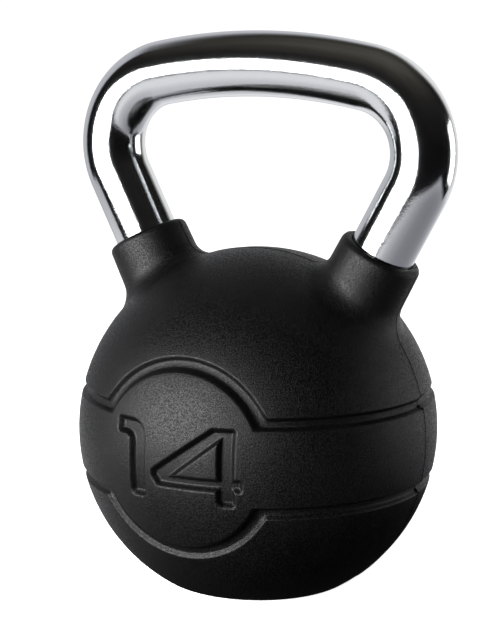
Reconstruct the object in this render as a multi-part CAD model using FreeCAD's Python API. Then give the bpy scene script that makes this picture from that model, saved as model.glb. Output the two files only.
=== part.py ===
import FreeCAD, Part

import math
import os

from FreeCAD import Vector

# Kettlebell: a chromed steel bar bent into a handle, butt welded to a cast-iron core, and a thick rubber
# cover moulded round the core in two halves that meet on the plane of the handle.
# Millimetres. Origin at the centre of the flat base, +Z up, +X along the handle, numerals facing -Y and +Y.

# Ball and base
BALL_RADIUS = 90.0
BASE_RADIUS = 48.2          # of the flat, before its edge is rounded
BASE_EDGE_ROUND = 5.0

# Handle
BAR_DIAMETER = 32.0
WINDOW_HEIGHT = 74.0        # hand room between the top of the ball and the bar
LEG_SPACING = 108.4         # between the leg centrelines where they enter the ball
LEG_TILT = 27.5             # degrees from upright, spreading upwards
CORNER_RADIUS = 36.3        # bend centreline
CROWN_RADIUS = 284.0        # the top of the handle is a shallow arch
BAR_END_CHAMFER = 1.5

# Core and welds
COVER_THICKNESS = 21.6      # rubber over the core; sets the weight
FOOT_THICKNESS = 16.0       # rubber under the core's flat foot
SEAT_DEPTH = 12.0           # of the machined seat below the core's surface, along the leg
WELD_LEG = 7.0
WELD_ROOM = 1.0             # flat left round the bead
RECESS_FLARE = 30.0         # degrees, half angle of the welding recess

# Cover
BOND_LINE = 0.2             # adhesive between rubber and metal
COLLAR_HEIGHT = 23.6        # from the ball's surface to the lip, along the leg
COLLAR_WALL = 4.6           # at the lip
COLLAR_DRAFT = 1.5          # degrees
COLLAR_FILLET = 8.5
LIP_ROUND = 3.0

# Moulded grooves: a belt between two straight grooves, widened by a round medallion on each side
BELT_EDGE = 18.7            # half height of the belt
MEDALLION_RADIUS = 43.3
GROOVE_WIDTH = 5.0
GROOVE_FLOOR = 2.8
GROOVE_DEPTH = 1.8

# Numerals, recessed in each medallion and drawn straight along Y
NUMERAL_HEIGHT = 36.4
NUMERAL_DEPTH = 1.7
STEM_WIDTH = 8.0
STROKE_WIDTH = 6.2          # of the flag, the crossbar and the stub
DIAGONAL_WIDTH = 7.0
ONE_WIDTH = 17.5
ONE_CORNER = 8.0            # outer radius where the flag turns into the stem
FOUR_WIDTH = 40.7           # from the tip to the right of the stem
STUB_LENGTH = 3.2           # of the crossbar past the stem
CROSSBAR_BOTTOM = 7.7       # above the foot of the numerals
NUMERAL_GAP = 5.0

# Worked out from the sizes above
BAR_RADIUS = BAR_DIAMETER / 2
BALL_HEIGHT = math.sqrt(BALL_RADIUS**2 - BASE_RADIUS**2)
CENTRE = Vector(0, 0, BALL_HEIGHT)
CORE_RADIUS = BALL_RADIUS - COVER_THICKNESS
TILT = math.radians(LEG_TILT)
CROWN_TOP = BALL_RADIUS + WINDOW_HEIGHT + BAR_RADIUS
BELT_ANGLE = math.asin(BELT_EDGE / BALL_RADIUS)
MEDALLION_ANGLE = math.asin(MEDALLION_RADIUS / BALL_RADIUS)
HALF_GROOVE_ANGLE = GROOVE_WIDTH / 2 / BALL_RADIUS

# For building only
REACH = 2 * BALL_RADIUS     # longer than anything that a cutter has to clear
OVERSHOOT = 2.0             # of a groove's cutter above the ball's surface
SEAM_TURN = 45.0            # degrees, puts a ball's closing line clear of collars and medallions
NEAR = 0.01
X_AXIS = Vector(1, 0, 0)
Y_AXIS = Vector(0, 1, 0)
Z_AXIS = Vector(0, 0, 1)


def leg_axis(side):
    """Foot of a leg's centreline at the height of the ball's centre, and its direction upwards."""
    entry_x = LEG_SPACING / 2
    entry_z = math.sqrt(BALL_RADIUS**2 - entry_x**2)
    foot_x = entry_x - entry_z * math.tan(TILT)
    foot = CENTRE + Vector(side * foot_x, 0, 0)
    return foot, Vector(side * math.sin(TILT), 0, math.cos(TILT))


def along_leg(side, distance):
    foot, direction = leg_axis(side)
    return foot + direction * distance


def leg_reaches(radius):
    """Distance along a leg, from its foot, to the sphere of this radius about the ball's centre."""
    foot, direction = leg_axis(1)
    offset = foot - CENTRE
    nearest = -offset.dot(direction)
    miss = (offset + direction * nearest).Length
    return nearest + math.sqrt(radius**2 - miss**2)


SEAT_DISTANCE = leg_reaches(CORE_RADIUS) - SEAT_DEPTH
LIP_DISTANCE = leg_reaches(BALL_RADIUS) + COLLAR_HEIGHT


def nearer_leg(point):
    return leg_axis(1 if point.x > 0 else -1)


def square_to_leg(point, distance):
    """True where a point lies on the plane square to its leg at this distance along it."""
    foot, direction = nearer_leg(point)
    return abs((point - foot).dot(direction) - distance) < NEAR


def edges_where(shape, test):
    """Edges whose middle point passes the test."""
    chosen = []
    for edge in shape.Edges:
        middle = edge.valueAt((edge.FirstParameter + edge.LastParameter) / 2)
        if test(middle):
            chosen.append(edge)
    return chosen


def slab(low_z, high_z, low_y=-REACH, high_y=REACH):
    """Block between these heights, wider than the kettlebell."""
    return Part.makeBox(2 * REACH, high_y - low_y, high_z - low_z, Vector(-REACH, low_y, low_z))


def bend_points():
    """Centre of the right-hand bend, where it meets the leg and the crown, and the crown's centre."""
    foot, direction = leg_axis(1)
    inwards = Vector(-direction.z, 0, direction.x)
    crown_centre = CENTRE + Vector(0, 0, CROWN_TOP - CROWN_RADIUS)
    start = foot + inwards * CORNER_RADIUS - crown_centre
    reach = CROWN_RADIUS - CORNER_RADIUS
    half = start.dot(direction)
    run = -half + math.sqrt(half**2 - start.dot(start) + reach**2)
    on_leg = foot + direction * run
    centre = on_leg + inwards * CORNER_RADIUS
    outwards = (centre - crown_centre).normalize()
    on_crown = crown_centre + outwards * CROWN_RADIUS
    return centre, on_leg, on_crown, crown_centre


def round_section(point, direction, radius):
    return Part.Face(Part.Wire(Part.makeCircle(radius, point, direction)))


def mirrored(shape):
    return shape.mirror(Vector(0, 0, 0), X_AXIS)


def bent_bar(radius):
    """The handle's bar at this radius: leg, bend, crown, bend and leg, standing on the seats."""
    centre, on_leg, on_crown, crown_centre = bend_points()
    direction = leg_axis(1)[1]
    first = along_leg(1, SEAT_DISTANCE)
    bend_angle = math.degrees((on_leg - centre).getAngle(on_crown - centre))
    half_crown = math.degrees((on_crown - crown_centre).getAngle(Z_AXIS))
    tangent = Y_AXIS.cross(on_crown - crown_centre)
    leg = Part.makeCylinder(radius, (on_leg - first).Length, first, direction)
    bend = round_section(on_leg, direction, radius).revolve(centre, Y_AXIS, -bend_angle)
    crown = round_section(on_crown, tangent, radius).revolve(crown_centre, Y_AXIS, -2 * half_crown)
    return leg.fuse([bend, crown, mirrored(bend), mirrored(leg)]).removeSplitter()


def make_handle():
    bar = bent_bar(BAR_RADIUS)
    ends = edges_where(bar, lambda point: square_to_leg(point, SEAT_DISTANCE))
    return bar.makeChamfer(BAR_END_CHAMFER, ends)


def make_core(grow=0.0):
    """Cast ball with a flat foot and two machined seats at the bottom of flared welding recesses."""
    ball = Part.makeSphere(CORE_RADIUS + grow, CENTRE)
    ball.rotate(CENTRE, Z_AXIS, 2 * SEAM_TURN)
    core = ball.cut(slab(-REACH, FOOT_THICKNESS - grow))
    floor = BAR_RADIUS + WELD_LEG + WELD_ROOM - grow
    depth = BALL_RADIUS
    mouth = floor + depth * math.tan(math.radians(RECESS_FLARE))
    for side in (-1, 1):
        seat = along_leg(side, SEAT_DISTANCE + grow)
        core = core.cut(Part.makeCone(floor, mouth, depth, seat, leg_axis(side)[1]))
    return core


def weld_cone(side, grow=0.0):
    """Solid cone out to the face of a leg's weld, moved outwards by grow."""
    shift = grow * math.sqrt(2)
    toe = BAR_RADIUS + WELD_LEG + shift
    return Part.makeCone(toe, BAR_RADIUS + shift, WELD_LEG, along_leg(side, SEAT_DISTANCE), leg_axis(side)[1])


def make_welds():
    """A fillet weld all round each leg."""
    beads = []
    for side in (-1, 1):
        bar = Part.makeCylinder(BAR_RADIUS, REACH, along_leg(side, SEAT_DISTANCE), leg_axis(side)[1])
        beads.append(weld_cone(side).cut(bar))
    return Part.makeCompound(beads)


def collar(side):
    """Drafted boss round a leg, from inside the ball to the rounded lip."""
    root = leg_reaches(CORE_RADIUS)
    height = LIP_DISTANCE - root
    lip_radius = BAR_RADIUS + COLLAR_WALL
    root_radius = lip_radius + height * math.tan(math.radians(COLLAR_DRAFT))
    boss = Part.makeCone(root_radius, lip_radius, height, along_leg(side, root), leg_axis(side)[1])
    lip_edges = edges_where(boss, lambda point: square_to_leg(point, LIP_DISTANCE))
    return boss.makeFillet(min(LIP_ROUND, COLLAR_WALL - 2 * BOND_LINE), lip_edges)


def at_collar_root(point):
    """True on the line where a collar leaves the ball."""
    foot, direction = nearer_leg(point)
    from_axis = (point - foot).cross(direction).Length
    on_ball = abs((point - CENTRE).Length - BALL_RADIUS) < NEAR
    return on_ball and from_axis < BAR_RADIUS + 2 * COLLAR_WALL and point.z > BALL_HEIGHT


def cover_outside():
    """The rubber's outer form: ball with a flat base, and a collar blended in round each leg."""
    ball = Part.makeSphere(BALL_RADIUS, CENTRE)
    ball.rotate(CENTRE, Z_AXIS, SEAM_TURN)
    ball = ball.cut(slab(-REACH, 0))
    ball = ball.makeFillet(BASE_EDGE_ROUND, edges_where(ball, lambda point: abs(point.z) < NEAR))
    form = ball.fuse([collar(-1), collar(1)])
    return form.makeFillet(COLLAR_FILLET, edges_where(form, at_collar_root))


def groove_section(angle):
    """Groove's section in the XZ plane, square to the ball at this angle above +X."""
    slope = (GROOVE_WIDTH - GROOVE_FLOOR) / 2 / GROOVE_DEPTH
    top = GROOVE_WIDTH / 2 + OVERSHOOT * slope
    floor = GROOVE_FLOOR / 2
    outline = [(OVERSHOOT, -top), (-GROOVE_DEPTH, -floor), (-GROOVE_DEPTH, floor), (OVERSHOOT, top)]
    corners = [CENTRE + Vector(BALL_RADIUS + out, 0, across) for out, across in outline]
    face = Part.Face(Part.makePolygon(corners + corners[:1]))
    return face.rotate(CENTRE, Y_AXIS, -math.degrees(angle))


def medallion_cone(side):
    """A medallion's own area: a cone from the ball's centre out through its edge."""
    mouth = REACH * math.tan(MEDALLION_ANGLE)
    return Part.makeCone(0, mouth, REACH, CENTRE, Vector(0, side, 0))


def straight_groove(level):
    """Groove round the ball along the upper or lower edge of the belt, broken by the medallions."""
    section = groove_section(level * (BELT_ANGLE + HALF_GROOVE_ANGLE))
    ring = section.revolve(CENTRE, Z_AXIS, 360)
    return ring.cut([medallion_cone(-1), medallion_cone(1)])


def round_groove(side):
    """Groove round a medallion, broken by the belt: turned about +Z, then laid over to -Y or +Y."""
    section = groove_section(math.pi / 2 - MEDALLION_ANGLE - HALF_GROOVE_ANGLE)
    ring = section.revolve(CENTRE, Z_AXIS, 360)
    ring.rotate(CENTRE, X_AXIS, -90 * side)
    return ring.cut(slab(BALL_HEIGHT - BELT_EDGE, BALL_HEIGHT + BELT_EDGE))


def flat_point(x, z):
    """Point of a numeral, measured from the middle of the medallion."""
    return Vector(x, 0, BALL_HEIGHT + z)


def quarter_turn(start, end, centre):
    """Arc from start to end about a centre, all as x and z."""
    radius = math.dist(start, centre)
    middle_x = (start[0] + end[0]) / 2 - centre[0]
    middle_z = (start[1] + end[1]) / 2 - centre[1]
    stretch = radius / math.hypot(middle_x, middle_z)
    middle = (centre[0] + middle_x * stretch, centre[1] + middle_z * stretch)
    return Part.Arc(flat_point(*start), flat_point(*middle), flat_point(*end)).toShape()


def straight(points):
    """Wire edges through these points."""
    return [
        Part.LineSegment(flat_point(*first), flat_point(*second)).toShape()
        for first, second in zip(points, points[1:])
    ]


def one_outline(left, foot):
    """Stem with a flag to the left, turning through a round corner."""
    right = left + ONE_WIDTH
    top = foot + NUMERAL_HEIGHT
    stem = right - STEM_WIDTH
    under_flag = top - STROKE_WIDTH
    inner = ONE_CORNER - STROKE_WIDTH
    outer_start, outer_end = (right - ONE_CORNER, top), (right, top - ONE_CORNER)
    inner_start, inner_end = (stem, under_flag - inner), (stem - inner, under_flag)
    edges = [quarter_turn(outer_start, outer_end, (right - ONE_CORNER, top - ONE_CORNER))]
    edges += straight([outer_end, (right, foot), (stem, foot), inner_start])
    edges += [quarter_turn(inner_start, inner_end, (stem - inner, under_flag - inner))]
    edges += straight([inner_end, (left, under_flag), (left, top), outer_start])
    return Part.Face(Part.Wire(edges))


def four_outline(left, foot):
    """Diagonal, crossbar and stem round a triangular island."""
    right = left + FOUR_WIDTH
    top = foot + NUMERAL_HEIGHT
    stem = right - STEM_WIDTH
    stub = right + STUB_LENGTH
    bar_bottom = foot + CROSSBAR_BOTTOM
    bar_top = bar_bottom + STROKE_WIDTH
    head = stem - DIAGONAL_WIDTH / 2
    heel = STROKE_WIDTH / 2
    outer = [(left, bar_top), (head, top), (right, top), (right, bar_top), (stub, bar_top)]
    outer += [(stub, bar_bottom), (right, bar_bottom), (right, foot), (stem, foot), (stem, bar_bottom)]
    outer += [(left + heel, bar_bottom), (left, bar_top - heel), (left, bar_top)]
    rise = (top - bar_top) / (head - left)
    drop = DIAGONAL_WIDTH * math.hypot(1, rise)
    island_top = (stem, bar_top + (stem - left) * rise - drop)
    island = [(left + drop / rise, bar_top), (stem, bar_top), island_top, (left + drop / rise, bar_top)]
    return Part.Face(Part.Wire(straight(outer))).cut(Part.Face(Part.Wire(straight(island))))


def numeral_cutters(side):
    """One and four for the front (-1), or the same turned half a turn for the back (1)."""
    width = ONE_WIDTH + NUMERAL_GAP + FOUR_WIDTH + STUB_LENGTH
    foot = -NUMERAL_HEIGHT / 2
    one = one_outline(-width / 2, foot)
    four = four_outline(-width / 2 + ONE_WIDTH + NUMERAL_GAP, foot)
    floor = Part.makeSphere(BALL_RADIUS - NUMERAL_DEPTH, CENTRE)
    cutters = []
    for outline in (one, four):
        numeral = outline.extrude(Vector(0, -REACH, 0)).cut(floor)
        if side > 0:
            numeral.rotate(CENTRE, Z_AXIS, 180)
        cutters.append(numeral)
    return cutters


def make_half_cover(side):
    """One half of the cover: its outer form less the metal in it, the grooves and the numerals."""
    low_y = min(0, side * REACH)
    high_y = max(0, side * REACH)
    cover = cover_outside().common(slab(-REACH, 2 * REACH, low_y, high_y))
    cutters = [make_core(BOND_LINE), bent_bar(BAR_RADIUS + BOND_LINE)]
    cutters += [weld_cone(leg, BOND_LINE) for leg in (-1, 1)]
    cutters += [straight_groove(level) for level in (-1, 1)]
    cutters.append(round_groove(side))
    cutters += numeral_cutters(side)
    for cutter in cutters:
        cover = cover.cut(cutter)
    return cover


def save(shape, name):
    """Write a node's solids, and print their number, validity and volume."""
    solids = shape.Solids
    node = solids[0] if len(solids) == 1 else Part.makeCompound(solids)
    node.exportStep("parts/" + name + ".step")
    print(name, "solids", len(solids), "valid", node.isValid(), "volume", round(node.Volume, 1))


os.makedirs("parts", exist_ok=True)
save(make_handle(), "handle")
save(make_core(), "core")
save(make_welds(), "weld_beads")
save(make_half_cover(-1), "front_cover")
save(make_half_cover(1), "back_cover")
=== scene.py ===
import math

import bmesh
import bpy
import numpy as np
from mathutils import Matrix, Vector


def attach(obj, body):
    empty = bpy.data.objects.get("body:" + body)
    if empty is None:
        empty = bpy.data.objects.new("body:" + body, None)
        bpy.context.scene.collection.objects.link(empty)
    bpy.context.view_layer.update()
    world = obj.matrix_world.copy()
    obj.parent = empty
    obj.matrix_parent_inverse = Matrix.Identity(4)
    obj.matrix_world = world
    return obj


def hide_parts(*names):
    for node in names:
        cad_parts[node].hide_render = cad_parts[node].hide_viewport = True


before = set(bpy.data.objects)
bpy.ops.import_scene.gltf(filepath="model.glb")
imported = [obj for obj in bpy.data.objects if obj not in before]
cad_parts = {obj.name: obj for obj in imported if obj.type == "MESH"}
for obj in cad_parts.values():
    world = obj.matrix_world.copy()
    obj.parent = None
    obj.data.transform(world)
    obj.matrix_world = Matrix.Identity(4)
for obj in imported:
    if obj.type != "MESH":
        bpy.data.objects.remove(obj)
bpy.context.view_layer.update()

# ---------------------------------------------------------------------------
# Handle: one length of solid 32 mm steel bar, bent cold into two splayed legs
# and a shallow arch, ground and polished, then nickel and chrome plated. Its
# ends stand on seats machined in the iron core. Lengths here are millimetres.
# ---------------------------------------------------------------------------
BALL_HEIGHT = 76.005            # of the ball's centre above the floor
BAR_RADIUS = 15.97              # plated size, just under the bar's nominal 16
LEG_FOOT_X = 16.8               # of a leg's centreline, at the height of the ball's centre
LEG_TILT = math.radians(27.5)
SEAT_DISTANCE = 47.0            # along the leg, from its foot
BEND_RADIUS = 36.3
BEND_CENTRE = np.array([48.213, 0.0, 138.963])
CROWN_RADIUS = 284.0
CROWN_TOP = 180.0
BAR_END_CHAMFER = 1.5
LEG_POINTS, BEND_POINTS, CROWN_POINTS = 46, 70, 34      # along one half of the centreline
BAR_POINTS = 129                                        # round the bar, the last on the first
MERGE_DISTANCE = 2e-6           # metres
LEG_FOOT = np.array([LEG_FOOT_X, 0.0, 0.0])
LEG_DIRECTION = np.array([math.sin(LEG_TILT), 0.0, math.cos(LEG_TILT)])


def to_frame(points):
    """Millimetres about the ball's centre, as metres in the row frame."""
    return (np.asarray(points, float) + [0.0, 0.0, BALL_HEIGHT]) / 1000


def quads_of(rows, columns, first):
    """Corner numbers of the squares of a grid whose points are numbered row by row from first."""
    corner = first + np.arange(rows - 1)[:, None] * columns + np.arange(columns - 1)
    square = [corner, corner + 1, corner + columns + 1, corner + columns]
    return np.stack(square, axis=-1).reshape(-1, 4)


def piece_from(name, grids, crease):
    """Closed mesh from grids of points (rows, columns, 3) that share their edges: the grids are
    laid side by side, points that coincide are merged, each open flat outline is filled with one
    face, and every face is turned outwards. Edges sharper than crease degrees shade as edges."""
    points = np.concatenate([to_frame(grid).reshape(-1, 3) for grid in grids])
    counts = [grid.shape[0] * grid.shape[1] for grid in grids]
    starts = np.concatenate([[0], np.cumsum(counts)[:-1]])
    quads = np.concatenate([
        quads_of(grid.shape[0], grid.shape[1], start) for grid, start in zip(grids, starts)
    ])
    mesh = bpy.data.meshes.new(name)
    mesh.from_pydata(points.tolist(), [], quads.tolist())
    solid = bmesh.new()
    solid.from_mesh(mesh)
    bmesh.ops.remove_doubles(solid, verts=solid.verts, dist=MERGE_DISTANCE)
    open_edges = [edge for edge in solid.edges if edge.is_boundary]
    if open_edges:
        bmesh.ops.holes_fill(solid, edges=open_edges, sides=0)
    bmesh.ops.recalc_face_normals(solid, faces=solid.faces)
    solid.to_mesh(mesh)
    solid.free()
    mesh.shade_smooth()
    mesh.set_sharp_from_angle(angle=math.radians(crease))
    piece = bpy.data.objects.new(name, mesh)
    bpy.context.scene.collection.objects.link(piece)
    return piece


def arc_about(centre, radius, start, end, count):
    """Points on a circle in the plane of the handle, and their tangents: centre plus radius times
    the cosine and sine of an angle that runs from start to end."""
    angle = np.linspace(start, end, count)[:, None]
    outwards = np.cos(angle) * [1, 0, 0] + np.sin(angle) * [0, 0, 1]
    along = np.sign(end - start) * (np.cos(angle) * [0, 0, 1] - np.sin(angle) * [1, 0, 0])
    return centre + radius * outwards, along


def bar_centreline():
    """Right leg from its seat, bend and half the crown; the left side is its mirror image."""
    crown_centre = np.array([0.0, 0.0, CROWN_TOP - CROWN_RADIUS])
    out = BEND_CENTRE - crown_centre
    bend_end = math.atan2(out[2], out[0])
    leg_end = LEG_FOOT + LEG_DIRECTION * ((BEND_CENTRE - LEG_FOOT) @ LEG_DIRECTION)
    step = np.linspace(0, 1, LEG_POINTS)[:, None]
    leg = LEG_FOOT + LEG_DIRECTION * SEAT_DISTANCE
    leg = leg + (leg_end - leg) * step
    leg_along = np.repeat(LEG_DIRECTION[None], len(leg), axis=0)
    bend, bend_along = arc_about(BEND_CENTRE, BEND_RADIUS, -LEG_TILT, bend_end, BEND_POINTS)
    crown, crown_along = arc_about(
        crown_centre, CROWN_RADIUS, bend_end, math.pi / 2, CROWN_POINTS)
    points = np.concatenate([leg, bend[1:], crown[1:]])
    along = np.concatenate([leg_along, bend_along[1:], crown_along[1:]])
    points = np.concatenate([points, (points * [-1, 1, 1])[-2::-1]])
    along = np.concatenate([along, (along * [1, 1, -1])[-2::-1]])
    return points, along


def swept_bar():
    """Circle carried square to the centreline: point plus radius times (cosine of the way round
    times the in-plane normal, plus sine times Y). A smaller circle and the centre close each
    end."""
    points, along = bar_centreline()
    start, end = points[:1], points[-1:]
    points = np.concatenate([start, start, points, end, end])
    along = np.concatenate([along[:1], along[:1], along, along[-1:], along[-1:]])
    radius = np.full(len(points), BAR_RADIUS)
    radius[[0, -1]] = 0.0
    radius[[1, -2]] = BAR_RADIUS - BAR_END_CHAMFER
    points[2] += along[2] * BAR_END_CHAMFER
    points[-3] -= along[-3] * BAR_END_CHAMFER
    normal = np.cross(along, [0, 1, 0])
    way = np.linspace(0, 2 * math.pi, BAR_POINTS)
    way[-1] = 0.0
    y_axis = np.array([0.0, 1.0, 0.0])
    ring = np.cos(way)[:, None] * normal[:, None] + np.sin(way)[:, None] * y_axis
    return points[:, None] + radius[:, None, None] * ring


handle = piece_from("chromed_handle", [swept_bar()], 35)
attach(handle, "root")
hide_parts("handle")


def linear(hex_colour):
    """sRGB hex value as linear red, green, blue and alpha."""
    parts = [int(hex_colour[i:i + 2], 16) / 255 for i in (1, 3, 5)]
    return [p / 12.92 if p <= 0.04045 else ((p + 0.055) / 1.055) ** 2.4 for p in parts] + [1.0]


def add_node(tree, kind, settings=None, links=None):
    """Adds one node. settings are its own properties, the values of its inputs or the stops of
    its colour ramp, from first to last; links join its inputs to (node, output) pairs."""
    node = tree.nodes.new("ShaderNode" + kind)
    for name, value in (settings or {}).items():
        if name == "stops":
            ends = node.color_ramp.elements[0], node.color_ramp.elements[-1]
            for end, (position, tone) in zip(ends, (value[0], value[-1])):
                end.position, end.color = position, linear(tone)
            for position, tone in value[1:-1]:
                node.color_ramp.elements.new(position).color = linear(tone)
        elif hasattr(node, str(name)):
            setattr(node, name, value)
        else:
            node.inputs[name].default_value = value
    for name, (source, output) in (links or {}).items():
        tree.links.new(source.outputs[output], node.inputs[name])
    return node


def new_material(name):
    """Empty material, with its node tree and its output."""
    material = bpy.data.materials.new(name)
    material.use_nodes = True
    material.node_tree.nodes.clear()
    return material, material.node_tree, add_node(material.node_tree, "OutputMaterial")


def finish_with(material, *pieces):
    """Gives the pieces this material only."""
    for piece in pieces:
        piece.data.materials.clear()
        piece.data.materials.append(material)


# Bright chrome over polished steel: a mirror with faint polishing haze and the very slight
# waviness that bending and belt polishing leave, which bends the edges of the reflections. The
# belt's grit leaves marks of hundredths of a millimetre, too fine to show, so they are drawn
# about 0.8 mm across and roughen those edges.
chrome, tree, out = new_material("polished_chrome_plate")
place = add_node(tree, "TexCoord")
haze = add_node(tree, "TexNoise", {"Scale": 220.0, "Detail": 4.0}, {"Vector": (place, "Object")})
haze_range = add_node(tree, "MapRange", {"To Min": 0.08, "To Max": 0.14},
                      {"Value": (haze, "Fac")})
wave = add_node(tree, "TexNoise", {"Scale": 45.0, "Detail": 2.0}, {"Vector": (place, "Object")})
wave_bump = add_node(tree, "Bump", {"Strength": 0.35, "Distance": 0.00012},
                     {"Height": (wave, "Fac")})
grit = add_node(tree, "TexNoise", {"Scale": 1300.0, "Detail": 2.0}, {"Vector": (place, "Object")})
grit_bump = add_node(tree, "Bump", {"Strength": 0.9, "Distance": 0.00004},
                     {"Height": (grit, "Fac"), "Normal": (wave_bump, "Normal")})
shader = add_node(tree, "BsdfPrincipled", {"Base Color": linear("#d9dbdd"), "Metallic": 1.0},
                  {"Roughness": (haze_range, "Result"), "Normal": (grit_bump, "Normal")})
tree.links.new(shader.outputs["BSDF"], out.inputs["Surface"])
finish_with(chrome, handle)

# ---------------------------------------------------------------------------
# Core: grey iron ball cast in sand, with a flat foot and two machined seats
# at the bottom of flared recesses. It carries nearly all the weight and is
# hidden by the rubber once the cover is on.
# ---------------------------------------------------------------------------
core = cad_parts["core"]

# Grey cast iron as cast: dark, matt, with sand grain about a millimetre across and a faint
# rust bloom in patches of about 17 mm.
iron, tree, out = new_material("sand_cast_grey_iron")
place = add_node(tree, "TexCoord")
sand = add_node(tree, "TexNoise", {"Scale": 900.0, "Detail": 6.0}, {"Vector": (place, "Object")})
bloom = add_node(tree, "TexNoise", {"Scale": 60.0, "Detail": 3.0}, {"Vector": (place, "Object")})
tone = add_node(tree, "ValToRGB", {"stops": [(0.35, "#3a3a3c"), (0.75, "#4f4a46")]},
                {"Fac": (bloom, "Fac")})
bump = add_node(tree, "Bump", {"Strength": 0.6, "Distance": 0.00022}, {"Height": (sand, "Fac")})
shader = add_node(tree, "BsdfPrincipled", {"Metallic": 0.75, "Roughness": 0.62},
                  {"Base Color": (tone, "Color"), "Normal": (bump, "Normal")})
tree.links.new(shader.outputs["BSDF"], out.inputs["Surface"])
finish_with(iron, core)

# ---------------------------------------------------------------------------
# Weld beads: a fillet of mild steel laid all round each leg where it stands
# on its seat, joining bar and casting. Hidden under the rubber.
# ---------------------------------------------------------------------------
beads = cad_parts["weld_beads"]

# Mild steel weld: bright, with ripples every 1.4 mm and a heat tint from grey to straw.
weld, tree, out = new_material("mild_steel_weld")
place = add_node(tree, "TexCoord")
ripple = add_node(tree, "TexNoise", {"Scale": 700.0, "Detail": 2.0}, {"Vector": (place, "Object")})
heat = add_node(tree, "TexNoise", {"Scale": 120.0, "Detail": 2.0}, {"Vector": (place, "Object")})
tone = add_node(tree, "ValToRGB", {"stops": [(0.40, "#6b7076"), (0.65, "#8a7a5c")]},
                {"Fac": (heat, "Fac")})
bump = add_node(tree, "Bump", {"Strength": 0.8, "Distance": 0.0004}, {"Height": (ripple, "Fac")})
shader = add_node(tree, "BsdfPrincipled", {"Metallic": 1.0, "Roughness": 0.38},
                  {"Base Color": (tone, "Color"), "Normal": (bump, "Normal")})
tree.links.new(shader.outputs["BSDF"], out.inputs["Surface"])
finish_with(weld, beads)

# ---------------------------------------------------------------------------
# Cover: black rubber moulded over the casting in a two-part mould that meets in the plane of the
# handle. Each half has a drafted collar half round each leg, a belt and a medallion set off by
# grooves, and plain sunk numerals for the weight in kilograms.
# ---------------------------------------------------------------------------
COVER_RADIUS = 89.96            # keeps the belt inside the ball's own size
INNER_RADIUS = 68.6             # rubber stops here, on the bonded casting
INNER_FOOT = -60.2
BORE_RADIUS = 16.2
LIP_DISTANCE = 104.6            # along the leg, from its foot
LIP_RADIUS = 20.6
LIP_ROUND = 3.0
MOUTH_ROUND = 0.6
COLLAR_DRAFT = math.radians(1.5)
COLLAR_FILLET = 8.5
FOCUS_DISTANCE = 60.0           # rays that draw a collar start here on the leg's centreline
BELT_EDGE = 17.7                # where the belt starts to round into its groove
CAP_EDGE = 24.5
MEDALLION_RADIUS = 40.7
RING_RADIUS = 48.6
GROOVE_DEPTH = 2.6
BELT_WALL = 2.3
MEDALLION_WALL = 4.3
CAP_WALL = (0.5, 2.2)           # from and to, measured from the cap's edge
CAP_SLOPE = 4.2
WALL_SHARE = 0.75
BASE_LEVEL = -76.005
BASE_ROUND = 5.0
SEAM_HEIGHT = 0.22
SEAM_WIDTH = 0.30
NUMERAL_DEPTH = 3.0
NUMERAL_WALL = 2.4
NUMERAL_ROUND = 0.5             # how far the wall's round head reaches outside the outline
COLLAR_FOOT_RADIUS = LIP_RADIUS + 0.7
FILLET_HEAD = 1.25              # heights of the fillet's rows above the ball, in fillet radii
FILLET_TOE = 1.05               # and how far out they reach, in fillet radii
RAY_RANGE = (8.0, 180.0)        # the rubber is met between these distances along a ray
HALVINGS = 40
QUARTER_ROUND = math.pi / 2
BACK_BELT_LIFT = 0.8            # the mould's halves are out of step: the back's belt is higher
LIFT_BLEND = 0.1                # radians of azimuth over which it gets there
NUMERAL_REACH = 19.4            # close rows run this far above and below the middle,
NUMERAL_SHARE = 0.9             # but over no more than this share of the belt's half height
LEAST_SLOPE = 1e-9

# Grid points: round the ball from the front to the corner of the medallion, over the groove and
# on to the seam; then the rows of each part
MEDALLION_POINTS, CORNER_POINTS, BELT_POINTS = 84, 6, 62
SEAM_DISTANCES = np.array([1.5, 1.0, 0.7, 0.45, 0.25, 0.1, 0.0])
NUMERAL_ROWS, BELT_ROWS, GROOVE_ROWS, LOWER_ROWS, FOOT_ROUND_ROWS = 80, 15, 24, 30, 7
FOOT_CIRCLES = [44.0, 30.0, 12.0, 0.0]
CREST_POINTS, CAVITY_ROWS = 46, 16
COLLAR_ROWS, FILLET_ROWS, CAP_ROWS = 6, 20, 24


def smooth(u):
    """0 below 0, 1 above 1, and 3u squared less 2u cubed between."""
    u = np.clip(u, 0, 1)
    return u * u * (3 - 2 * u)


def at(azimuth, height, radius=COVER_RADIUS):
    """Point of the ball at an azimuth from the front (-Y) and a height above its centre."""
    azimuth, height = np.broadcast_arrays(azimuth, height)
    reach = np.sqrt(np.maximum(radius**2 - height**2, 0))
    return np.stack([reach * np.sin(azimuth), -reach * np.cos(azimuth), height], axis=-1)


def edge_height(azimuth, ring, belt):
    """Height of a line that follows the circle of radius ring round the medallion and the
    parallel at height belt elsewhere: the higher of the two."""
    inside = np.maximum(ring**2 - (COVER_RADIUS * np.sin(azimuth))**2, 0)
    circle = np.sqrt(inside) / np.maximum(np.cos(azimuth), 0.2)
    return np.maximum(circle, belt)


def corner_azimuth(ring, belt):
    """Azimuth where that circle crosses that parallel."""
    x = math.sqrt(ring**2 - belt**2)
    return math.atan2(x, math.sqrt(COVER_RADIUS**2 - x**2 - belt**2))


def arc_to(value, edge):
    """Length along the ball between two distances from an axis through its centre."""
    angle = np.arcsin(np.clip(value / COVER_RADIUS, -1, 1))
    return COVER_RADIUS * (angle - math.asin(edge / COVER_RADIUS))


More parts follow.
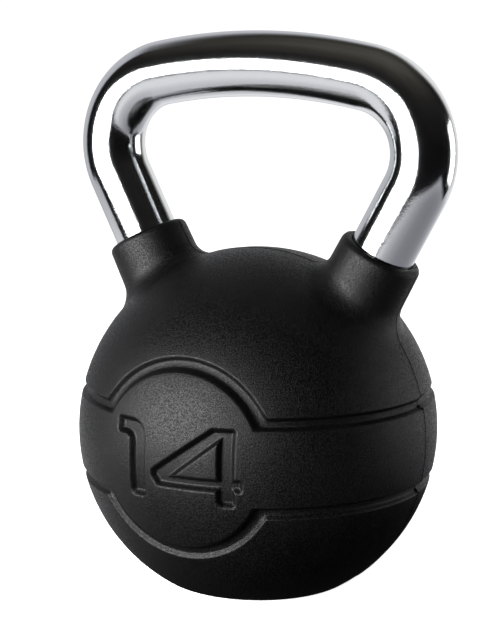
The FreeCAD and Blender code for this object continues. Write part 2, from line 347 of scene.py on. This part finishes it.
def groove_depth(points, lift):
    """Depth of the grooves. Each of the two walls is a smooth step of the distance from its edge,
    the cap's a steep one added to a long shallow one, and the two walls are multiplied."""
    x, z = points[..., 0], points[..., 2]
    from_middle = np.hypot(x, z)
    level = np.abs(z - lift)
    down_inside = smooth(np.minimum(arc_to(level, BELT_EDGE) / BELT_WALL,
                                    arc_to(from_middle, MEDALLION_RADIUS) / MEDALLION_WALL))
    from_cap = -np.minimum(arc_to(level, CAP_EDGE), arc_to(from_middle, RING_RADIUS))
    wall = smooth((from_cap - CAP_WALL[0]) / (CAP_WALL[1] - CAP_WALL[0]))
    down_cap = WALL_SHARE * wall + (1 - WALL_SHARE) * smooth(from_cap / CAP_SLOPE)
    return GROOVE_DEPTH * down_inside * down_cap


def inset(outline, distance):
    """Outline with every side moved inwards (to the left of its direction) by distance, and each
    corner where its two moved sides cross."""
    here = np.asarray(outline, float)
    along = np.roll(here, -1, axis=0) - here
    along /= np.linalg.norm(along, axis=1)[:, None]
    left = np.stack([-along[:, 1], along[:, 0]], axis=1)
    left_before = np.roll(left, 1, axis=0)
    spread = 1 + np.sum(left * left_before, axis=1)
    return here + distance * (left + left_before) / spread[:, None]


def distance_to(outline, x, z):
    """Signed distance from an outline, negative inside: the least distance to any side, with its
    sign from how many sides a line to the right crosses."""
    start = np.asarray(outline, float)
    side = np.roll(start, -1, axis=0) - start
    point = np.stack([x, z], axis=-1)[..., None, :] - start
    share = np.clip(np.sum(point * side, axis=-1) / np.sum(side**2, axis=1), 0, 1)
    away = np.linalg.norm(point - share[..., None] * side, axis=-1).min(axis=-1)
    above_start = point[..., 1] >= 0
    above_end = point[..., 1] >= side[:, 1]
    turn = side[:, 0] * point[..., 1] - side[:, 1] * point[..., 0]
    crossed = (above_start & ~above_end & (turn > 0)) | (~above_start & above_end & (turn < 0))
    return np.where(crossed.sum(axis=-1) % 2 == 1, -away, away)


def quarter(centre, radius, start, end, count=9):
    """Corner points on a circle between two angles in degrees."""
    angle = np.radians(np.linspace(start, end, count))
    return np.asarray(centre) + radius * np.stack([np.cos(angle), np.sin(angle)], axis=1)


# Outlines of the numerals, anticlockwise, as x and z from the middle of the medallion
ONE = np.concatenate([
    [(-32.2, 18.4), (-31.9, 11.2)],
    quarter((-27.1, 7.7), 3.2, 84, 5, 6),
    [(-23.6, -15.8)],
    quarter((-21.2, -15.7), 2.3, 190, 262, 5),
    [(-14.9, -18.0)],
    quarter((-23.2, 10.3), 8.3, 0, 84),
])
FOUR = np.array([
    (-10.9, -3.6), (-10.9, -6.6), (-7.8, -11.0), (21.7, -11.0), (21.7, -15.7), (22.4, -17.4),
    (24.2, -18.3), (30.1, -18.3), (30.1, -11.0), (33.5, -11.0), (33.5, -4.8), (30.1, -4.8),
    (29.9, 18.5), (19.2, 18.5),
])
ISLAND = np.array([(1.6, -5.0), (22.3, -5.0), (22.1, 11.6)])
ONE_FLOOR = inset(ONE, NUMERAL_WALL - NUMERAL_ROUND)
FOUR_FLOOR = inset(FOUR, NUMERAL_WALL - NUMERAL_ROUND)
ISLAND_FLOOR = inset(ISLAND, NUMERAL_ROUND - NUMERAL_WALL)


def numeral_depth(points):
    """Depth of the numerals: full on their floors, and a smooth step of the distance from them
    up the walls, which rounds the corners as a milled mould does."""
    x, z = points[..., 0], points[..., 2]
    four = np.maximum(distance_to(FOUR_FLOOR, x, z), -distance_to(ISLAND_FLOOR, x, z))
    outside = np.minimum(distance_to(ONE_FLOOR, x, z), four)
    return NUMERAL_DEPTH * (1 - smooth(outside / NUMERAL_WALL))


def collar_field(points):
    """About the distance from ball and collar joined by a round fillet: with a and b the
    distances from the ball and the drafted cone and k the fillet, the greater of k and the lesser
    of a and b, less the length of (k - a, k - b) where those are above zero."""
    from_foot = points - LEG_FOOT
    up = from_foot @ LEG_DIRECTION
    out = np.linalg.norm(from_foot - up[..., None] * LEG_DIRECTION, axis=-1)
    ball = np.linalg.norm(points, axis=-1) - COVER_RADIUS
    cone = out - LIP_RADIUS - (LIP_DISTANCE - up) * math.tan(COLLAR_DRAFT)
    cone = cone * math.cos(COLLAR_DRAFT)
    pull = np.hypot(np.maximum(COLLAR_FILLET - ball, 0), np.maximum(COLLAR_FILLET - cone, 0))
    return np.maximum(COLLAR_FILLET, np.minimum(ball, cone)) - pull


def with_seam(points):
    """Fine raised line where the halves of the mould met: a bell curve of the distance from their
    plane, along the slope of the collar field."""
    mirror = np.where(points[..., :1] < 0, -1.0, 1.0) * [1, 0, 0] + [0, 1, 1]
    right = points * mirror
    steps = np.eye(3) * 0.01
    slope = np.stack([
        collar_field(right + step) - collar_field(right - step) for step in steps
    ], axis=-1)
    slope /= np.maximum(np.linalg.norm(slope, axis=-1, keepdims=True), LEAST_SLOPE)
    height = SEAM_HEIGHT * np.exp(-(points[..., 1] / SEAM_WIDTH)**2)
    height = np.where(points[..., 2] < BASE_LEVEL + BASE_ROUND, 0, height)
    return points + height[..., None] * slope * mirror * [1, 0, 1]


def around_leg(across, out, up):
    """Points at a distance out from a leg's centreline and up along it, in the directions
    across."""
    return LEG_FOOT + LEG_DIRECTION * up[..., None] + across * out[..., None]


def up_to_ball(across, out, radius):
    """Distance along a leg at which a line beside it, out in the direction across, meets a
    sphere round the ball's centre."""
    base = LEG_FOOT + across * out
    half = base @ LEG_DIRECTION
    return -half + np.sqrt(half**2 - np.sum(base**2, axis=-1) + radius**2)


def rays_to_rubber(across, angle):
    """Where rays from the focus on a leg's centreline, at an angle from it, leave the collar
    field: the interval that holds its zero is halved again and again."""
    focus = LEG_FOOT + LEG_DIRECTION * FOCUS_DISTANCE
    ray = np.cos(angle)[..., None] * LEG_DIRECTION + np.sin(angle)[..., None] * across
    near, far = (np.full(angle.shape, end) for end in RAY_RANGE)
    for _ in range(HALVINGS):
        middle = (near + far) / 2
        inside = collar_field(focus + middle[..., None] * ray) < 0
        near, far = np.where(inside, middle, near), np.where(inside, far, middle)
    return focus + near[..., None] * ray


def graded(start, end, count, fine_ends=()):
    """Even steps from 0 to 1 scaled to start and end, with extra steps close to either end."""
    steps = np.unique(np.concatenate([np.linspace(0, 1, count), fine_ends]))
    return start + (end - start) * steps


def collar_grid(edge):
    """Right-hand collar and cap, from the bore at the lip out to the given edge points, as rows
    of points about the leg. Lip and mouth are circles, the rest is where rays meet the rubber."""
    from_foot = edge - LEG_FOOT
    across = from_foot - (from_foot @ LEG_DIRECTION)[:, None] * LEG_DIRECTION
    across /= np.linalg.norm(across, axis=1)[:, None]
    mouth = np.radians(np.array([180, 150, 120, 90]))
    lip = np.radians(np.linspace(90, 0, 8))
    out = np.concatenate([
        BORE_RADIUS + MOUTH_ROUND * (1 + np.cos(mouth)),
        LIP_RADIUS - LIP_ROUND * (1 - np.cos(lip)),
    ])
    drop = np.concatenate([MOUTH_ROUND * (1 - np.sin(mouth)), LIP_ROUND * (1 - np.sin(lip))])
    out[-1] += LIP_ROUND * math.tan(COLLAR_DRAFT)
    across_rows = np.broadcast_to(across, (len(out), *across.shape))
    rim = around_leg(across_rows, np.repeat(out[:, None], len(edge), 1),
                     np.repeat(LIP_DISTANCE - drop[:, None], len(edge), 1))
    focus = LEG_FOOT + LEG_DIRECTION * FOCUS_DISTANCE
    head = up_to_ball(across, COLLAR_FOOT_RADIUS, COVER_RADIUS) + COLLAR_FILLET * FILLET_HEAD
    toe_radius = COLLAR_FOOT_RADIUS + COLLAR_FILLET * FILLET_TOE
    toe = up_to_ball(across, toe_radius, COVER_RADIUS)
    to_edge = edge - focus
    angles = [
        np.full(len(edge), math.atan2(out[-1], LIP_DISTANCE - LIP_ROUND - FOCUS_DISTANCE)),
        np.arctan2(COLLAR_FOOT_RADIUS, head - FOCUS_DISTANCE),
        np.arctan2(toe_radius, toe - FOCUS_DISTANCE),
        np.arctan2(np.sum(to_edge * across, axis=1), to_edge @ LEG_DIRECTION),
    ]
    steps = [graded(0, 1, COLLAR_ROWS)[1:], graded(0, 1, FILLET_ROWS)[1:],
             graded(0, 1, CAP_ROWS, [0.985])[1:]]
    rows = [a + (b - a) * step[:, None] for a, b, step in zip(angles, angles[1:], steps)]
    rows = np.concatenate(rows)
    skin = rays_to_rubber(np.broadcast_to(across, (len(rows), *across.shape)), rows)
    skin[-1] = edge
    return np.concatenate([rim, skin]), across


def cover_half(name, lift, turned):
    """Half of the cover as one closed solid: belt with medallion, two grooves, lower cap, two
    collars with the upper cap, and the plain inside against the casting."""
    inner_corner = corner_azimuth(MEDALLION_RADIUS, BELT_EDGE)
    outer_corner = corner_azimuth(RING_RADIUS, CAP_EDGE)
    by_seam = QUARTER_ROUND - SEAM_DISTANCES / COVER_RADIUS
    azimuth = np.concatenate([
        np.linspace(0, inner_corner, MEDALLION_POINTS),
        np.linspace(inner_corner, outer_corner, CORNER_POINTS)[1:],
        np.linspace(outer_corner, by_seam[0], BELT_POINTS)[1:],
        by_seam[1:],
    ])
    azimuth = np.concatenate([-azimuth[:0:-1], azimuth])
    inner = edge_height(azimuth, MEDALLION_RADIUS, BELT_EDGE)
    outer = edge_height(azimuth, RING_RADIUS, CAP_EDGE)
    off_middle = lift * smooth((np.abs(azimuth) - outer_corner) / LIFT_BLEND)
    inner_top, inner_low = inner + off_middle, -inner + off_middle
    outer_top, outer_low = outer + off_middle, -outer + off_middle

    # Belt and medallion, with rows half a millimetre apart over the numerals
    middle = np.minimum(NUMERAL_REACH, NUMERAL_SHARE * inner)
    share = np.linspace(0, 1, BELT_ROWS)[:, None]
    band = np.concatenate([
        inner_low + (-middle - inner_low) * share[:-1],
        np.linspace(-1, 1, NUMERAL_ROWS)[:, None] * middle,
        middle + (inner_top - middle) * share[1:],
    ])
    belt = at(azimuth, band)

    # Grooves
    share = np.linspace(0, 1, GROOVE_ROWS)[:, None]
    top_groove = at(azimuth, inner_top + (outer_top - inner_top) * share)
    low_groove = at(azimuth, inner_low + (outer_low - inner_low) * share)

    # Lower cap, rounded edge and flat foot
    start = np.arcsin(outer_low / COVER_RADIUS)
    round_out = math.sqrt((COVER_RADIUS - BASE_ROUND)**2 - (BASE_LEVEL + BASE_ROUND)**2)
    tangent = math.atan2(BASE_LEVEL + BASE_ROUND, round_out)
    step = graded(0, 1, LOWER_ROWS, [0.006])[:, None]
    lower = at(azimuth, COVER_RADIUS * np.sin(start + (tangent - start) * step))
    turn = np.linspace(tangent, -QUARTER_ROUND, FOOT_ROUND_ROWS)[1:]
    out = np.concatenate([round_out + BASE_ROUND * np.cos(turn), FOOT_CIRCLES])
    level = np.concatenate([BASE_LEVEL + BASE_ROUND + BASE_ROUND * np.sin(turn),
                            [BASE_LEVEL] * len(FOOT_CIRCLES)])
    circle = np.stack([np.sin(azimuth), -np.cos(azimuth), np.zeros_like(azimuth)], axis=-1)
    foot = circle * out[:, None, None] + level[:, None, None] * np.array([0.0, 0.0, 1.0])
    lower = np.concatenate([lower, foot])

    # Upper cap and collars, the right one from the middle line and the groove, the left mirrored
    first = len(azimuth) // 2
    top_line = graded(QUARTER_ROUND, math.asin(outer_top[first] / COVER_RADIUS), CREST_POINTS)
    top_line = np.unique(np.concatenate([by_seam, top_line[1:]]))[::-1]
    crest = np.stack([np.zeros_like(top_line), -COVER_RADIUS * np.cos(top_line),
                      COVER_RADIUS * np.sin(top_line)], axis=-1)
    crest[0, 1] = 0.0
    edge = np.concatenate([crest[:-1], at(azimuth, outer_top)[first:]])
    edge[-1, 1] = 0.0
    cap, across = collar_grid(edge)

    # Inside: bore down each leg, then the ball of the casting and its flat foot
    bore_end = around_leg(across, np.full(len(edge), BORE_RADIUS),
                          up_to_ball(across, BORE_RADIUS, INNER_RADIUS))
    onto_core = edge * (INNER_RADIUS / COVER_RADIUS)
    ways = np.array([0.0, 0.3, 0.65, 1.0])[:, None, None]
    inside = bore_end + (onto_core - bore_end) * ways
    inside *= INNER_RADIUS / np.linalg.norm(inside, axis=-1, keepdims=True)
    bore = np.concatenate([cap[:1], inside])
    down = np.arcsin(outer_top / COVER_RADIUS)
    down = down + (-QUARTER_ROUND - down) * np.linspace(0, 1, CAVITY_ROWS)[:, None]
    cavity = at(azimuth, INNER_RADIUS * np.sin(down), INNER_RADIUS)
    cavity[..., 2] = np.maximum(cavity[..., 2], INNER_FOOT)

    carved = []
    for grid in (belt, top_groove, low_groove):
        depth = np.maximum(groove_depth(grid, off_middle), numeral_depth(grid))
        carved.append(with_seam(grid * (1 - depth / COVER_RADIUS)[..., None]))
    outside = carved + [with_seam(lower), with_seam(cap), with_seam(cap) * [-1, 1, 1]]
    grids = outside + [cavity, bore, bore * [-1, 1, 1]]
    if turned:
        grids = [grid * [-1, -1, 1] for grid in grids]
    return piece_from(name, grids, 50)


front = cover_half("front_rubber_cover", 0.0, False)
back = cover_half("back_rubber_cover", BACK_BELT_LIFT, True)
for half, node in ((front, "front_cover"), (back, "back_cover")):
    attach(half, "root")
    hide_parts(node)

# Black moulded rubber: satin, with the fine orange-peel grain of a blasted mould, and patches of
# about 18 mm where bloom on the rubber makes it paler. A blasted grain is a tenth or two of a
# millimetre, too fine to show, so the grain is drawn 0.6 mm across and its gloss 0.8 mm.
rubber, tree, out = new_material("moulded_black_rubber")
place = add_node(tree, "TexCoord")
peel = add_node(tree, "TexNoise", {"Scale": 1700.0, "Detail": 3.0, "Roughness": 0.7},
                {"Vector": (place, "Object")})
peel_bump = add_node(tree, "Bump", {"Strength": 1.0, "Distance": 0.00022},
                     {"Height": (peel, "Fac")})
patch = add_node(tree, "TexNoise", {"Scale": 55.0, "Detail": 4.0}, {"Vector": (place, "Object")})
patch_bump = add_node(tree, "Bump", {"Strength": 0.25, "Distance": 0.0004},
                      {"Height": (patch, "Fac"), "Normal": (peel_bump, "Normal")})
speck = add_node(tree, "TexNoise", {"Scale": 1250.0, "Detail": 1.0}, {"Vector": (place, "Object")})
gloss = add_node(tree, "MapRange",
                 {"From Min": 0.36, "From Max": 0.60, "To Min": 0.60, "To Max": 0.28},
                 {"Value": (speck, "Fac")})
tone = add_node(tree, "ValToRGB", {"stops": [(0.3, "#010101"), (0.7, "#030303")]},
                {"Fac": (patch, "Fac")})
shader = add_node(tree, "BsdfPrincipled", {"IOR": 1.5, "Specular IOR Level": 0.108},
                  {"Base Color": (tone, "Color"), "Roughness": (gloss, "Result"),
                   "Normal": (patch_bump, "Normal")})
tree.links.new(shader.outputs["BSDF"], out.inputs["Surface"])
finish_with(rubber, front, back)

# ---------------------------------------------------------------------------
# Studio: plain pale floor, a large soft light at the left and a faint one
# behind on the right. What the chrome mirrors is a glowing sheet that stands in for lit pale paper,
# with its light and shade painted on, a pale backdrop and a dark room, which give it its bright and
# dark bands.
# ---------------------------------------------------------------------------
STUDIO_HALF = 30                # metres
FLOOR_LEVEL = -0.0004
PAPER_LEVEL = -0.0008
PAPER_OUTLINE = [
    (-0.75, -0.25), (-0.42, -0.22), (-0.40, -0.42), (-0.36, -0.62), (0.06, -0.58),
    (0.15, -0.50), (0.70, -0.02), (0.345, 0.23), (0.45, 0.60), (-0.75, 0.60),
]


def board(name, corners, level, material):
    """Flat stage object at one level, from its corners in order."""
    mesh = bpy.data.meshes.new(name)
    mesh.from_pydata([(x, y, level) for x, y in corners], [], [range(len(corners))])
    flat = bpy.data.objects.new(name, mesh)
    bpy.context.scene.collection.objects.link(flat)
    finish_with(material, flat)
    return flat


pale, tree, out = new_material("pale_studio_floor")
shader = add_node(tree, "BsdfPrincipled", {
    "Base Color": linear("#e8e8e8"), "Roughness": 0.9,
    "Emission Color": linear("#ffffff"), "Emission Strength": 0.85})
tree.links.new(shader.outputs["BSDF"], out.inputs["Surface"])
floor = board("studio_floor", [(-STUDIO_HALF, -STUDIO_HALF), (STUDIO_HALF, -STUDIO_HALF),
                               (STUDIO_HALF, STUDIO_HALF), (-STUDIO_HALF, STUDIO_HALF)],
              FLOOR_LEVEL, pale)
floor.visible_glossy = False
floor.visible_diffuse = False

# Reflections see a glowing sheet in place of the floor, standing in for pale paper with its light
# and shade
# painted on: bright at the front left, a painted shadow of the ball grey on the right, and painted
# shade dark round the foot
paper, tree, out = new_material("paper_in_reflections")
place = add_node(tree, "TexCoord")
# painted shadow of the ball: the sheet glows greyer towards a point to the right of the ball, paler
# further out
from_shade = add_node(tree, "VectorMath", {"operation": "DISTANCE"}, {0: (place, "Object")})
from_shade.inputs[1].default_value = (0.29, 0.0, 0.0)
shade = add_node(tree, "ValToRGB", {"stops": [
    (0.0, "#8c8b91"), (0.12, "#94939a"), (0.25, "#aeadb2"), (0.42, "#d3d3d7"), (0.52, "#f9f9fb"),
    (0.7, "#f9f9fb"), (0.95, "#cacace")]}, {"Fac": (from_shade, "Value")})
from_foot = add_node(tree, "VectorMath", {"operation": "DISTANCE"}, {0: (place, "Object")})
from_foot.inputs[1].default_value = (0.05, 0.03, 0.0)
# painted shade round the foot: the sheet's glow fades almost to nothing close to the ball
foot_shade = add_node(tree, "MapRange", {
    "interpolation_type": "SMOOTHSTEP", "From Min": 0.095, "From Max": 0.19,
    "To Min": 0.05, "To Max": 1.0}, {"Value": (from_foot, "Value")})
light = add_node(tree, "Emission", None,
                 {"Color": (shade, "Color"), "Strength": (foot_shade, "Result")})
tree.links.new(light.outputs["Emission"], out.inputs["Surface"])
sheet = board("paper_in_reflections", PAPER_OUTLINE, PAPER_LEVEL, paper)
sheet.visible_camera = False
sheet.visible_diffuse = False
sheet.visible_shadow = False

# The world lights the floor and the background evenly. Reflections see a dark room, lighter
# towards the ceiling, and the pale backdrop on the left and behind.
world = bpy.data.worlds.new("studio")
bpy.context.scene.world = world
world.use_nodes = True
tree = world.node_tree
tree.nodes.clear()
out = add_node(tree, "OutputWorld")
place = add_node(tree, "TexCoord")
axes = add_node(tree, "SeparateXYZ", None, {"Vector": (place, "Generated")})
height = add_node(tree, "MapRange", {"From Min": -1.0}, {"Value": (axes, "Z")})
clutter = add_node(tree, "TexNoise", {"Scale": 3.0, "Detail": 3.0},
                   {"Vector": (place, "Generated")})
unevenness = add_node(tree, "MapRange", {"To Min": -0.05, "To Max": 0.05},
                      {"Value": (clutter, "Fac")})
level = add_node(tree, "Math", {"operation": "ADD"},
                 {0: (height, "Result"), 1: (unevenness, "Result")})
dark = add_node(tree, "ValToRGB", {"stops": [
    (0.0, "#2a2828"), (0.3, "#151315"), (0.5, "#030303"), (0.675, "#080707"), (0.82, "#1a1816"),
    (0.925, "#36342f"), (1.0, "#4f4d47")]}, {"Fac": (level, "Value")})
bearing = add_node(tree, "Math", {"operation": "ARCTAN2"}, {0: (axes, "X"), 1: (axes, "Y")})
turn = add_node(tree, "MapRange", {"From Min": -math.pi, "From Max": math.pi},
                {"Value": (bearing, "Value")})
reach = add_node(tree, "ValToRGB", {"stops": [
    (0.242, "#000000"), (0.258, "#ffffff"), (0.56, "#ffffff"), (0.60, "#000000")]},
    {"Fac": (turn, "Result")})
white = add_node(tree, "ValToRGB", {"stops": [
    (0.258, "#c9cad0"), (0.428, "#cdced2"), (0.468, "#f8f8f8"), (0.548, "#f8f8f8"),
    (0.572, "#b8b8b4")]},
    {"Fac": (turn, "Result")})
low = add_node(tree, "MapRange",
               {"interpolation_type": "SMOOTHSTEP", "From Min": 0.84, "From Max": 0.55},
               {"Value": (axes, "Z")})
share = add_node(tree, "Math", {"operation": "MULTIPLY"}, {0: (reach, "Color"), 1: (low, "Result")})
room = add_node(tree, "Mix", {"data_type": "RGBA"}, {"Factor": (share, "Value")})
# Inputs 6 and 7 of a Mix node, and its output 2, are its colours
tree.links.new(dark.outputs["Color"], room.inputs[6])
tree.links.new(white.outputs["Color"], room.inputs[7])
even = add_node(tree, "Background", {"Strength": 1.05})
faint = add_node(tree, "Background", {"Strength": 0.25})
for background in (even, faint):
    background.inputs["Color"].default_value = linear("#ffffff")
mirrored = add_node(tree, "Background", None, {"Color": (room, 2)})
path = add_node(tree, "LightPath")
plain = add_node(tree, "MixShader", None, {
    0: (path, "Is Diffuse Ray"), 1: (even, "Background"), 2: (faint, "Background")})
mix = add_node(tree, "MixShader", None, {
    0: (path, "Is Glossy Ray"), 1: (plain, "Shader"), 2: (mirrored, "Background")})
tree.links.new(mix.outputs["Shader"], out.inputs["Surface"])


def soft_light(name, place, target, width, height, power, *receivers):
    """Rectangular soft light turned towards a target. It lights the receivers only, if any are
    named."""
    data = bpy.data.lights.new(name, "AREA")
    data.shape = "RECTANGLE"
    data.size, data.size_y = width, height
    data.energy = power
    light = bpy.data.objects.new(name, data)
    bpy.context.scene.collection.objects.link(light)
    light.location = place
    light.rotation_euler = (Vector(target) - Vector(place)).to_track_quat("-Z", "Y").to_euler()
    if receivers:
        light.light_linking.receiver_collection = bpy.data.collections.new(name + "_receivers")
        for receiver in receivers:
            light.light_linking.receiver_collection.objects.link(receiver)


MIDDLE = (0.0, 0.0, 0.13)
KEY_WIDTH, KEY_HEIGHT = 1.35, 0.58


def around(azimuth, elevation, distance):
    """Place at an azimuth from the front (-Y), to the right, and an elevation, both seen from the
    middle of the object."""
    a, e = math.radians(azimuth), math.radians(elevation)
    return (MIDDLE[0] + distance * math.sin(a) * math.cos(e),
            MIDDLE[1] - distance * math.cos(a) * math.cos(e),
            MIDDLE[2] + distance * math.sin(e))


# The key light has two strengths: full on the dull rubber, and weaker and a little lower on the
# mirror of the bar, where it would drown its own edges
soft_light("key_left", (-0.605, -0.975, 0.32), (-0.48, 0.0, 0.20),
           KEY_WIDTH, KEY_HEIGHT, 96.0, front, back, floor)
soft_light("key_left_in_chrome", (-0.605, -0.975, 0.24), (-0.48, 0.0, 0.24),
           KEY_WIDTH, KEY_HEIGHT, 20.0, handle)
soft_light("rim_right", around(131, 3, 1.0), MIDDLE, 0.44, 0.6, 2.8)

# Camera
CAMERA_PLACE = (0.35227, -0.71464, 0.26949)
CAMERA_RIGHT = (0.89323902, 0.44941186, 0.01237039)
CAMERA_UP = (-0.08867503, 0.1491399, 0.98483198)
CAMERA_AHEAD = (-0.44075026, 0.8807873, -0.17306919)
SENSOR_WIDTH = 36.0             # millimetres
FOCAL_LENGTH = 91.13            # millimetres
lens = bpy.data.cameras.new("camera")
lens.sensor_width = SENSOR_WIDTH
lens.lens = FOCAL_LENGTH
lens.clip_start = 0.01
camera = bpy.data.objects.new("camera", lens)
bpy.context.scene.collection.objects.link(camera)
axes = Matrix([CAMERA_RIGHT, CAMERA_UP, [-value for value in CAMERA_AHEAD]]).transposed()
camera.matrix_world = Matrix.Translation(CAMERA_PLACE) @ axes.to_4x4()
bpy.context.scene.camera = camera
bpy.context.scene.view_settings.view_transform = "Standard"
